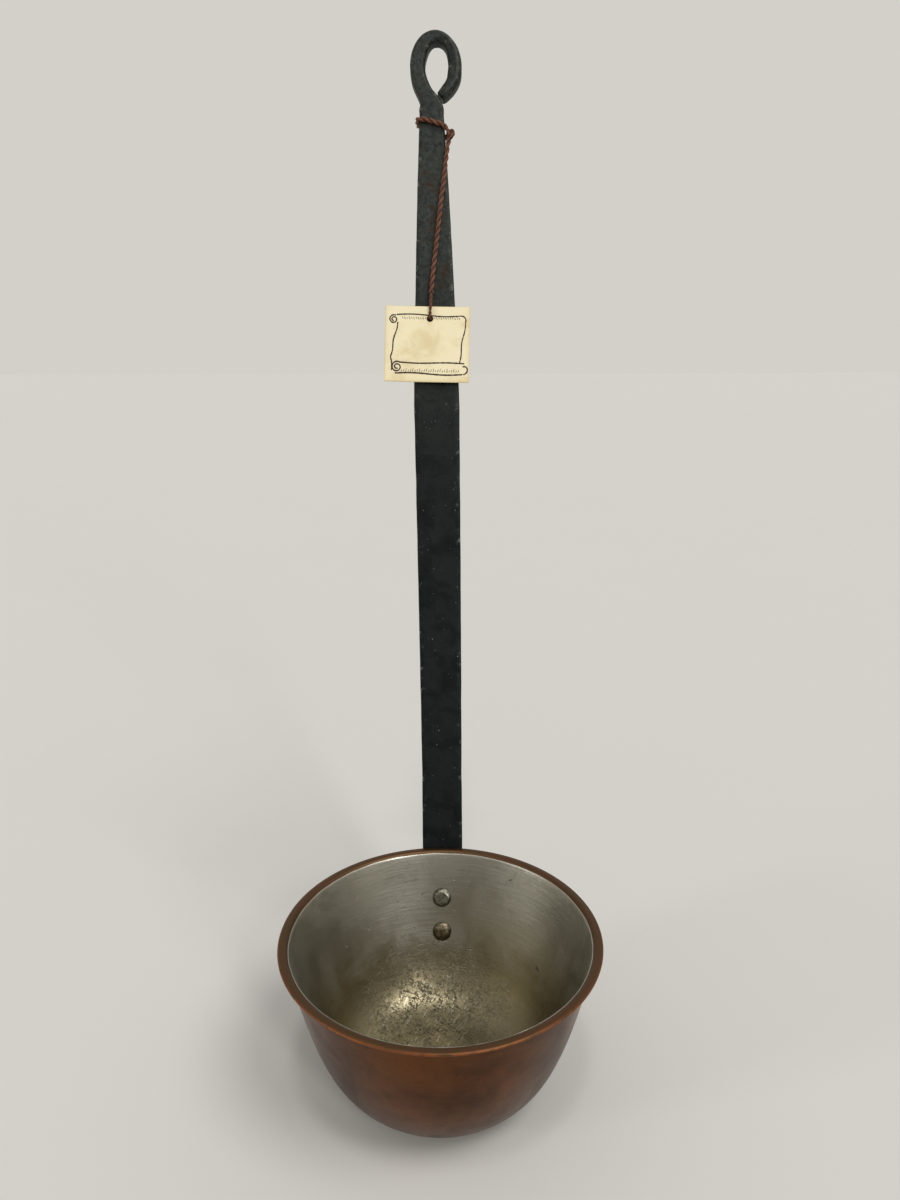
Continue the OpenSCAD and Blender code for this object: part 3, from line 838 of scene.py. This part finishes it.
class LADLE_OT_tag(bpy.types.Operator):
    """Cut the card, punch its hole and print a scroll border on it"""

    bl_idname = "ladle.tag"
    bl_label = "Card tag"

    def execute(self, context):
        tag = context.scene.ladle_tag
        left, right = -tag.width / 2 - 1.2 * MM, tag.width / 2 - 1.2 * MM
        top, bottom = 6.8 * MM, 6.8 * MM - tag.height
        hole_radius, count = 1.75 * MM, 52
        edge = []
        for a, b in (
            ((right, bottom), (right, top)), ((right, top), (left, top)),
            ((left, top), (left, bottom)), ((left, bottom), (right, bottom)),
        ):
            edge += [Vector(a).lerp(Vector(b), k / count) for k in range(count)]
        start = math.atan2(bottom, right)
        angles = [math.atan2(p.y, p.x) for p in edge]
        angles = [a if a >= start - 1e-9 else a + TURN for a in angles]
        rim = [Vector((hole_radius * math.cos(a), hole_radius * math.sin(a))) for a in angles]
        rows = []
        shares = [0, 0.02, 0.06, 0.13, 0.22, 0.33, 0.45, 0.57, 0.69, 0.8, 0.9, 0.96, 0.988]
        half = tag.thickness / 2
        rounding = 0.12 * MM

        def row(share, out, inset=0.0):
            ring = []
            for a, b in zip(rim, edge):
                p = a.lerp(b, share)
                if inset:
                    p = p - inset * (b - a).normalized() * (1 if share > 0.5 else -1)
                ring.append(card_place(tag, p.x, p.y, out))
            return ring

        rows += [(row(0, 0), 1.0), (row(0, half - rounding), 1.0), (row(0, half, rounding), 0.9)]
        rows += [(row(s, half), 0.9 * (s > 0.985) + 0.3 * (0.9 < s < 0.985)) for s in shares[1:]]
        rows += [(row(1, half, rounding), 1.0), (row(1, half - rounding), 1.0), (row(1, 0), 1.0)]
        rows += [(row(1, rounding - half), 1.0), (row(1, -half, rounding), 1.0)]
        rows += [(row(s, -half), 0.9 * (s > 0.985) + 0.3 * (0.9 < s < 0.985)) for s in reversed(shares[1:])]
        rows += [(row(0, -half, rounding), 0.9), (row(0, rounding - half), 1.0)]
        points, faces = skin([r for r, _ in rows])
        marks = {"rim": [m for r, m in rows for _ in r]}
        card = add_piece("card", (points, faces), cream_board(tag), "tag", ["hang_tag"], marks)
        card.data.set_sharp_from_angle(angle=math.radians(50))
        self.print_border(tag, half)
        return {"FINISHED"}

    def print_border(self, tag, half):
        """A plain scroll: a waved sheet with a small roll above and a long one below."""

        def wave(a, b, height, waves, steps=40):
            way = Vector(b) - Vector(a)
            side = Vector((-way.y, way.x)).normalized()
            return [
                Vector(a) + way * k / steps + side * height * math.sin(TURN * waves * k / steps)
                for k in range(steps + 1)
            ]

        def spiral(middle, outer, inner, start, turns, steps=44):
            line = []
            for k in range(steps + 1):
                a = start + TURN * turns * k / steps
                r = mix(outer, inner, k / steps)
                line.append(Vector(middle) + r * Vector((math.cos(a), math.sin(a))))
            return line

        lines = [
            (wave((-18.2, 1.9), (17.2, 1.7), 0.5, 1), 0.42),
            (spiral((17.2, -0.9), 2.6, 2.6, math.pi / 2, -0.3, 12), 0.42),
            (wave((19.6, -1.8), (16.6, -24.6), 0.35, 1.5), 0.4),
            (spiral((-19.8, -0.7), 2.5, 0.7, 1.05, 1.6), 0.42),
            (wave((-17.6, -2.2), (-21.2, -21.4), 0.35, 1.5), 0.4),
            (spiral((-17.6, -26.9), 3.1, 0.7, 0.9, 1.7), 0.45),
            (wave((-21.2, -21.4), (-20.4, -28.8), 0.4, 0.5, 14), 0.42),
            (wave((-15.8, -24.3), (19.4, -24.6), 0.3, -1), 0.45),
            (wave((-18.6, -30.4), (18.4, -30.6), 0.45, 1), 0.5),
            (spiral((18.9, -27.6), 3.0, 1.2, -math.pi / 2, 0.55, 16), 0.42),
        ]
        for k in range(26):
            x = -15.2 + 1.25 * k
            lines.append((wave((x, 1.0 - 0.2 * (k % 3)), (x + 0.5, -0.2 - 0.3 * (k % 2)), 0, 1, 2), 0.16))
            lines.append((wave((x, -29.6 + 0.2 * (k % 2)), (x + 0.4, -28.4 + 0.4 * (k % 3)), 0, 1, 2), 0.16))
        parts = []
        for line, width in lines:
            rings = []
            last = len(line) - 1
            for i, p in enumerate(line):
                way = (line[min(i + 1, last)] - line[max(i - 1, 0)]).normalized()
                thick = 2.2 * width * (0.8 + 0.35 * noise.noise(Vector((p.x * 0.9, p.y * 0.9, 3)))) / 2
                side = Vector((-way.y, way.x)) * thick
                corners = ((side, 0.03), (side, -0.05), (-side, -0.05), (-side, 0.03))
                rings.append(
                    [card_place(tag, (p + d).x * MM, (p + d).y * MM, half + n * MM) for d, n in corners]
                )
            ends = [sum(ring, Vector()) / 4 for ring in (rings[0], rings[-1])]
            parts.append(skin(rings, ends))
        add_piece("card_border", joined(parts), printing_ink(tag), "tag")


def strap_x(s):
    """How far the strap's middle has wandered to the left at a distance from the lip."""
    return (0.3 - 5.2 * (max(0, s) / 0.405) ** 1.3) * MM


def strap_width(handle, s):
    if s < 0.24:
        return mix(handle.foot_width, handle.wide_width, max(0, s - 0.04) / 0.2)
    return mix(handle.wide_width, handle.neck_width, ((s - 0.24) / 0.165) ** 1.3)


def strap_thickness(handle, s):
    return mix(handle.thickness, handle.thickness + 1.4 * MM, ease((s - 0.345) / 0.06))


def handle_spine(wall, handle):
    """Rows of (place, front direction, width, thickness, wrap round the bowl, ridge), from palm to tip."""
    thick, foot = handle.thickness, handle.foot_width
    aside, palm_round = 0.3 * MM, 7 * MM
    low_t, high_t = wall.at_height(23.2 * MM), wall.at_height(58.2 * MM)
    depth = -(0.2 * MM + thick / 2)
    arc = (wall.at(high_t, depth) - wall.at(low_t, depth)).length
    span = high_t - low_t

    def palm(t, width, thickness):
        p, way = wall.at(t, depth), bezier_way(wall.line, t)
        return (Vector((aside, p.x, p.y)), Vector((0, -way.y, way.x)), width, thickness, 1.0, 0.0)

    rows = []
    for degrees in range(8, 90, 8):
        a = math.radians(degrees)
        rows.append(
            palm(
                low_t + span * palm_round * (1 - math.cos(a)) / arc,
                foot * math.sin(a),
                thick * mix(0.7, 1, math.sin(a)),
            )
        )
    first = low_t + span * palm_round / arc
    rows += [palm(mix(first, high_t, i / 18), foot, thick) for i in range(19)]

    end_s, pull = -5 * MM, 6 * MM
    high = wall.at(high_t, depth)
    lean = Vector((math.sin(LEAN), math.cos(LEAN)))
    strap_foot = on_strap(0, end_s)
    end = Vector((strap_foot.y, strap_foot.z))
    line = [high, high + pull * bezier_way(wall.line, high_t), end - pull * lean, end]
    for i in range(1, 14):
        t = i / 14
        p, way = bezier(line, t), bezier_way(line, t)
        rows.append((Vector((aside, p.x, p.y)), Vector((0, -way.y, way.x)), foot, thick, 1 - ease(t), 0.0))

    neck_at = 0.405
    stops = [mix(end_s, neck_at, i / 270) for i in range(271)]
    rows += [
        (
            on_strap(strap_x(s), s), FRONT, strap_width(handle, s), strap_thickness(handle, s), 0.0, 0.0
        ) for s in stops
    ]

    # The neck swings the bar to the left, and the eye is an ellipse that the bar follows clockwise
    bar_width, crown_width, return_width, tip_width, bar_thick = (v * MM for v in (8.8, 7.2, 10.3, 6.6, 9.2))
    eye_w, eye_h = 19.6 * MM, 33.8 * MM
    eye_x, eye_s = strap_x(neck_at) + 2.1 * MM, neck_at + 25.5 * MM
    from_a, to_a = 218, -62

    def eye_at(a):
        a = math.radians(a)
        return Vector((eye_x + eye_w / 2 * math.cos(a), eye_s + eye_h / 2 * math.sin(a)))

    def eye_way(a):
        a = math.radians(a)
        return Vector((eye_w / 2 * math.sin(a), -eye_h / 2 * math.cos(a))).normalized()

    def bar_at(a):
        if a > 180:
            return bar_width
        if a > 90:
            return mix(crown_width, bar_width, ease((a - 90) / 70))
        if a > -10:
            return mix(return_width, crown_width, ease((a + 10) / 90))
        return mix(tip_width, return_width, ease((a - to_a) / (-10 - to_a)))

    start = Vector((strap_x(neck_at), neck_at))
    line = [start, start + Vector((-0.2, 7)) * MM, eye_at(from_a) - 9 * MM * eye_way(from_a), eye_at(from_a)]
    neck_thick = thick + 1.4 * MM
    for i in range(1, 16):
        t = i / 16
        p = bezier(line, t)
        width = mix(handle.neck_width + 0.5 * MM, bar_width, ease(1.1 * t))
        rows.append((on_strap(p.x, p.y), FRONT, width, mix(neck_thick, bar_thick, ease(t)), 0.0, 0.0))
    for i in range(91):
        a = mix(from_a, to_a, i / 90)
        p = eye_at(a)
        ridge = 0.9 * MM * ease((100 - a) / 50)
        # The right side is drawn thinner from the inside
        way, thinner = eye_way(a), 2.2 * MM * ease((95 - a) / 60) * ease((a + 55) / 35)
        p = p + thinner / 2 * Vector((-way.y, way.x))
        rows.append((on_strap(p.x, p.y), FRONT, bar_at(a) - thinner, bar_thick, 0.0, ridge))
    for run in (0.7, 1.4, 2.1):
        p = eye_at(to_a) + run * MM * eye_way(to_a)
        share = mix(1, 0.9, run / 2.1)
        rows.append((on_strap(p.x, p.y), FRONT, tip_width * share, bar_thick * share, 0.0, 0.9 * MM))
    return rows


def bar_section(width, thick, ridge, handle):
    """Points round a forged bar as (across, out, edge), with corners hammered flat where it is thick."""
    share = ease((thick - handle.thickness) / (9.2 * MM - handle.thickness))
    r = min(mix(1.1, 1.7, share) * MM, 0.45 * thick, 0.45 * width)
    flat = 0.75 * share
    points = []
    for quarter in range(4):
        sx, sy = ((1, 1), (-1, 1), (-1, -1), (1, -1))[quarter]
        cx, cy = sx * (width / 2 - r), sy * (thick / 2 - r)
        for k in range(5):
            turn = math.radians(90 * quarter + 22.5 * k)
            arc = Vector((math.cos(turn), math.sin(turn)))
            a, b = (
                Vector((math.cos(v), math.sin(v)))
                for v in (math.radians(90 * quarter), math.radians(90 * quarter + 90))
            )
            chord = a.lerp(b, k / 4)
            p = Vector((cx, cy)) + r * arc.lerp(chord, flat)
            points.append((p.x, p.y, 1.0 if 1 <= k <= 3 else 0.4))
        steps = 11 if quarter % 2 == 0 else 3
        nx, ny = ((1, 1), (-1, 1), (-1, -1), (1, -1))[(quarter + 1) % 4]
        last = points[-1]
        goal = (
            nx * (width / 2 - r), ny * thick / 2
        ) if quarter % 2 == 0 else (nx * width / 2, ny * (thick / 2 - r))
        for k in range(1, steps):
            points.append((mix(last[0], goal[0], k / steps), mix(last[1], goal[1], k / steps), 0.0))
    if ridge:
        points = [
            (x, y + ridge * (0.55 - abs(x + 0.1 * width) / (width / 2)) * (y > 0), e) for x, y, e in points
        ]
    return points


class LADLE_OT_handle(bpy.types.Operator):
    """Forge the handle: palm, strap, neck and hanging eye in one bar"""

    bl_idname = "ladle.handle"
    bl_label = "Handle"

    def execute(self, context):
        bowl, handle = context.scene.ladle_bowl, context.scene.ladle_handle
        rows = handle_spine(Wall(bowl), handle)
        rings, edges = [], []
        for i, (place, front, width, thick, wrap, ridge) in enumerate(rows):
            before, after = rows[max(i - 1, 0)][0], rows[min(i + 1, len(rows) - 1)][0]
            across = (after - before).normalized().cross(front).normalized()
            width *= 1 - 0.012 * (1 + noise.noise(place / 0.012 + Vector((7, 0, 0))))
            ring = []
            for x, y, edge in bar_section(width, thick, ridge, handle):
                p = place + x * across + y * front
                if wrap:
                    p.y -= wrap * (p.y - math.sqrt(max(0, p.y * p.y - p.x * p.x)))
                out = (x / (width / 2) * across + y / (thick / 2) * front).normalized()
                depth = 0.5 + 0.5 * noise.noise(p / 0.006)
                depth += 0.35 * (0.5 + 0.5 * noise.noise(p / 0.0022))
                strength = mix(0.35, 1.0, ease((place.z - 0.42) / 0.05))
                ring.append(p - handle.hammer_depth * strength * depth * out)
                edges.append(edge)
            rings.append(ring)
        ends = [sum(ring, Vector()) / len(ring) for ring in (rings[0], rings[-1])]
        points, faces = skin(rings, ends)
        add_piece(
            "handle_forging", (points, faces), forged_iron(handle), "ladle", ["handle"],
            {"edge": edges + [0.0, 1.0]},
        )
        return {"FINISHED"}


def dent(bowl, place):
    """How far the bowl's wall lies inside its true form at a place of its outside."""
    soft = 0.5 + 0.5 * noise.noise(place / 0.03)
    planish = noise.voronoi(place / 0.0095)[0][0]
    return bowl.dent_depth * (soft + 0.12 * (1 - planish))


def turned_skin(bowl, rows, count, wobble=0.0):
    """Rings about +Z. A row maps the turn to (place, outside place, way out, dent's share)."""
    rings = []
    for row in rows:
        ring = []
        for j in range(count):
            a = TURN * j / count
            place, base, out, share = row(a)
            c, s = math.cos(a), math.sin(a)
            push = -share * dent(bowl, Vector((base.x * c, base.x * s, base.y)))
            push -= wobble * (1 - share) * (0.5 + 0.5 * noise.noise(Vector((c * 2.2, s * 2.2, 0.3))))
            p = place + push * out
            ring.append(Vector((p.x * c, p.x * s, p.y)))
        rings.append(ring)
    return rings


TURNS = 288
WALL_ROWS = 64


class LADLE_OT_bowl(bpy.types.Operator):
    """Raise the copper bowl with its turned lip"""

    bl_idname = "ladle.bowl"
    bl_label = "Copper bowl"

    def execute(self, context):
        bowl = context.scene.ladle_bowl
        wall = Wall(bowl)
        up = Vector((1, 0))
        rows, run, lip, wear = [], [], [], []

        def add(place, base, out, share, at, on_lip=0.0, worn=0.0):
            rows.append(lambda a: (place, base, out, share))
            run.append(at)
            lip.append(on_lip)
            wear.append(worn)

        at = 0.0
        before = Vector((0, 0))
        for r in (0.006, 0.012, 0.018, 0.022):
            add(Vector((r, 0)), Vector((r, 0)), up, 0.0, r)
            before, at = Vector((r, 0)), r
        for i in range(WALL_ROWS + 1):
            t = i / WALL_ROWS
            p = wall.at(t)
            at += (p - before).length
            before = p
            add(p, p, wall.out(t), ease(t * 5) * ease((1 - t) * 9), at)
        end_r = bowl.sheet / 2
        lip_run = (bowl.lip_radius - end_r - wall.bend(wall.end_turn, end_r).x) / math.sin(wall.end_turn)
        lip_way = Vector((math.sin(wall.end_turn), math.cos(wall.end_turn)))
        end = wall.bend(wall.end_turn, end_r) + lip_run * lip_way
        base = wall.at(1)
        for i in range(1, 9):
            turn = mix(Wall.FLARE, wall.end_turn, i / 8)
            add(wall.bend(turn), base, up, 0.0, at + 0.2 * MM * i, 0.3)
        for i in range(10, -1, -1):
            # The rounded edge of the lip carries the wear mark: worn copper, and a painted highlight line
            # along the edge.
            turn = wall.end_turn + math.pi * i / 10
            way = Vector((-math.cos(turn), math.sin(turn)))
            add(
                end + end_r * way,
                base,
                up,
                0.0,
                at + 2 * MM,
                1.0 if i < 8 else 0.6,
                1.0 if 2 < i < 8 else 0.3,
            )
        for i in range(2, 0, -1):
            add(
                wall.bend(wall.end_turn, bowl.sheet) + lip_run * lip_way * i / 3,
                base,
                up,
                0.0,
                at + 3 * MM,
                1.0,
            )
        for i in range(12, 0, -1):
            turn = mix(Wall.FLARE, wall.end_turn, i / 12)
            add(wall.bend(turn, bowl.sheet), base, up, 0.0, at + 4 * MM, 1.0)
        for i in range(WALL_ROWS // 2, -1, -1):
            t = i * 2 / WALL_ROWS
            add(
                wall.at(t, bowl.sheet),
                wall.at(t),
                wall.out(t),
                ease(t * 5) * ease((1 - t) * 9),
                at + 5 * MM,
                1.0,
            )
        rings = turned_skin(bowl, rows, TURNS, wobble=0.25 * MM)
        points, faces = skin(rings, (ORIGIN, Vector((0, 0, bowl.sheet))))
        marks = {
            name: [v for v in values for _ in range(TURNS)] + [values[0], values[-1]]
            for name, values in (("run", run), ("lip", lip), ("wear", wear))
        }
        add_piece("copper_bowl", (points, faces), raised_copper(bowl), "ladle", ["bowl"], marks)
        return {"FINISHED"}


class LADLE_OT_tin(bpy.types.Operator):
    """Wipe the tin over the inside of the bowl, up to an uneven edge on the lip"""

    bl_idname = "ladle.tin"
    bl_label = "Tin lining"

    def execute(self, context):
        bowl = context.scene.ladle_bowl
        wall = Wall(bowl)
        up = Vector((1, 0))
        base = wall.at(1)
        deep, full = bowl.sheet, bowl.sheet + bowl.tin

        def reach(a):
            c, s = math.cos(a), math.sin(a)
            wide = noise.noise(Vector((c * 1.6, s * 1.6, 5)))
            fine = noise.noise(Vector((c * 9, s * 9, 2)))
            return bowl.tin_turn + math.radians(9) * wide + math.radians(5) * fine

        rows, run = [], []

        def add(row, at):
            rows.append(row)
            run.append(at)

        def on_wall(t, depth):
            place, outside, out = wall.at(t, depth), wall.at(t), wall.out(t)
            return lambda a: (place, outside, out, ease(t * 5) * ease((1 - t) * 9))

        def on_bend(share, depth, back=0.0):
            return lambda a: (wall.bend(mix(Wall.FLARE, reach(a) - back, share), depth), base, up, 0.0)

        for r in (0.006, 0.012, 0.018, 0.022):
            add(lambda a, r=r: (Vector((r, full)), Vector((r, 0)), up, 0.0), r)
        at, before = 0.022, Vector((0.022, 0))
        runs = []
        for i in range(WALL_ROWS + 1):
            t = i / WALL_ROWS
            p = wall.at(t)
            at += (p - before).length
            before = p
            runs.append(at)
            add(on_wall(t, full), at)
        for i in range(1, 6):
            add(on_bend(i / 5, full, math.radians(8)), at + 0.3 * MM * i)
        add(
            lambda a: (wall.bend(reach(a) - math.radians(3), mix(deep, full, 0.6)), base, up, 0.0),
            at + 2 * MM,
        )
        for i in range(5, 0, -1):
            add(on_bend(i / 5, deep), at + 0.3 * MM * i)
        for i in range(WALL_ROWS // 2, -1, -1):
            add(on_wall(i * 2 / WALL_ROWS, deep), runs[i * 2])
        rings = turned_skin(bowl, rows, TURNS, wobble=0.25 * MM)
        points, faces = skin(rings, (Vector((0, 0, full)), Vector((0, 0, deep))))
        marks = {"run": [v for v in run for _ in range(TURNS)] + [0.0, 0.0]}
        add_piece("tin_skin", (points, faces), wiped_tin(bowl), "ladle", ["tin_lining"], marks)
        return {"FINISHED"}


class LADLE_OT_rivets(bpy.types.Operator):
    """Set the two rivets, with their hammered heads inside and tails outside"""

    bl_idname = "ladle.rivets"
    bl_label = "Rivets"

    def execute(self, context):
        bowl, handle = context.scene.ladle_bowl, context.scene.ladle_handle
        tinned = rivet_metal("hammered_tinned_iron", "#97958a", "#5f5c4c", 0.3)
        worn = rivet_metal("hammered_worn_copper", "#837a64", "#4c4434", 0.3)
        self.rivet(bowl, handle, "rivet_head_upper", 52.5 * MM, 6 * MM, tinned, "tinned_rivet", "rivet_upper")
        self.rivet(bowl, handle, "rivet_head_lower", 34.7 * MM, 2 * MM, worn, "copper_rivet", "rivet_lower")
        return {"FINISHED"}

    def rivet(self, bowl, handle, name, z, flat, material, slot, node):
        wall = Wall(bowl)
        t = wall.at_height(z)
        p, out = wall.at(t), wall.out(t)
        foot, way = Vector((0, p.x, p.y)), Vector((0, out.x, out.y))
        side = way.cross(ACROSS)
        head_r, shank_r, tail_r = 5.1 * MM, 3 * MM, 4.7 * MM
        head_h, tail_h = 2.2 * MM, 2 * MM
        head_z = -(bowl.sheet + bowl.tin + 0.1 * MM + head_r * head_r / 2 / (p.x - bowl.sheet))
        tail_z = 0.2 * MM + handle.thickness + 0.1 * MM
        count, rows = 72, []
        for r in (0.25, 0.5, 0.75):
            rows.append((flat / 2 * r, head_z - head_h, 0.0, 1.0))
        for i in range(17):
            a = math.pi / 2 * i / 16
            rows.append(
                (
                    flat / 2 + (head_r - flat / 2) * math.sin(a),
                    head_z - head_h * math.cos(a),
                    ease((i - 12) / 4),
                    1.0,
                )
            )
        rows += [(shank_r, head_z, 1.0, 0.0), (shank_r, tail_z, 1.0, 0.0)]
        for i in range(17):
            a = math.pi / 2 * i / 16
            rows.append(
                (max(0.3 * MM, tail_r * math.cos(a)), tail_z + tail_h * math.sin(a), ease((4 - i) / 4), 1.0)
            )
        rings = []
        for r, h, _, hammer in rows:
            ring = []
            for j in range(count):
                a = TURN * j / count
                q = foot + r * (math.cos(a) * ACROSS + math.sin(a) * side) + h * way
                blow = hammer * (0.5 + 0.5 * noise.noise(q / 0.0026)) * 0.22 * MM
                middle = foot + way * (head_z + 1 * MM if h < 0 else tail_z - 1 * MM)
                ring.append(q + blow * (middle - q).normalized())
            rings.append(ring)
        ends = [sum(ring, Vector()) / count for ring in (rings[0], rings[-1])]
        points, faces = skin(rings, ends)
        # The foot mark paints shade where the heads meet the wall and the tails meet the strap.
        marks = {"foot": [m for _, _, m, _ in rows for _ in range(count)] + [0.0, 0.0]}
        add_piece(name, (points, faces), material, "ladle", [node], marks)


class LADLE_PT_build(bpy.types.Panel):
    """Lists the ladle's pieces and sizes"""

    bl_idname = "LADLE_PT_build"
    bl_label = "Copper ladle"
    bl_space_type = "VIEW_3D"
    bl_region_type = "UI"
    bl_category = "Ladle"

    def draw(self, context):
        column = self.layout.column()
        for step in STEPS:
            column.operator(step.bl_idname)
        for name, _ in SETTINGS:
            box = self.layout.box()
            settings = getattr(context.scene, name)
            for key in settings.bl_rna.properties.keys():
                if key not in {"rna_type", "name"}:
                    box.prop(settings, key)


STEPS = (
    LADLE_OT_stage, LADLE_OT_string, LADLE_OT_tag, LADLE_OT_handle, LADLE_OT_bowl, LADLE_OT_tin,
    LADLE_OT_rivets,
)
SETTINGS = (
    ("ladle_bowl", LADLE_PG_bowl), ("ladle_handle", LADLE_PG_handle), ("ladle_string", LADLE_PG_string),
    ("ladle_tag", LADLE_PG_tag), ("ladle_stage", LADLE_PG_stage),
)


def register():
    for _, group in SETTINGS:
        bpy.utils.register_class(group)
    for step in STEPS:
        bpy.utils.register_class(step)
    bpy.utils.register_class(LADLE_PT_build)
    for name, group in SETTINGS:
        setattr(bpy.types.Scene, name, PointerProperty(type=group))


def unregister():
    for name, _ in SETTINGS:
        delattr(bpy.types.Scene, name)
    bpy.utils.unregister_class(LADLE_PT_build)
    for step in reversed(STEPS):
        bpy.utils.unregister_class(step)
    for _, group in reversed(SETTINGS):
        bpy.utils.unregister_class(group)


def main():
    register()
    for step in STEPS:
        group, name = step.bl_idname.split(".")
        getattr(getattr(bpy.ops, group), name)()


if __name__ == "__main__":
    main()
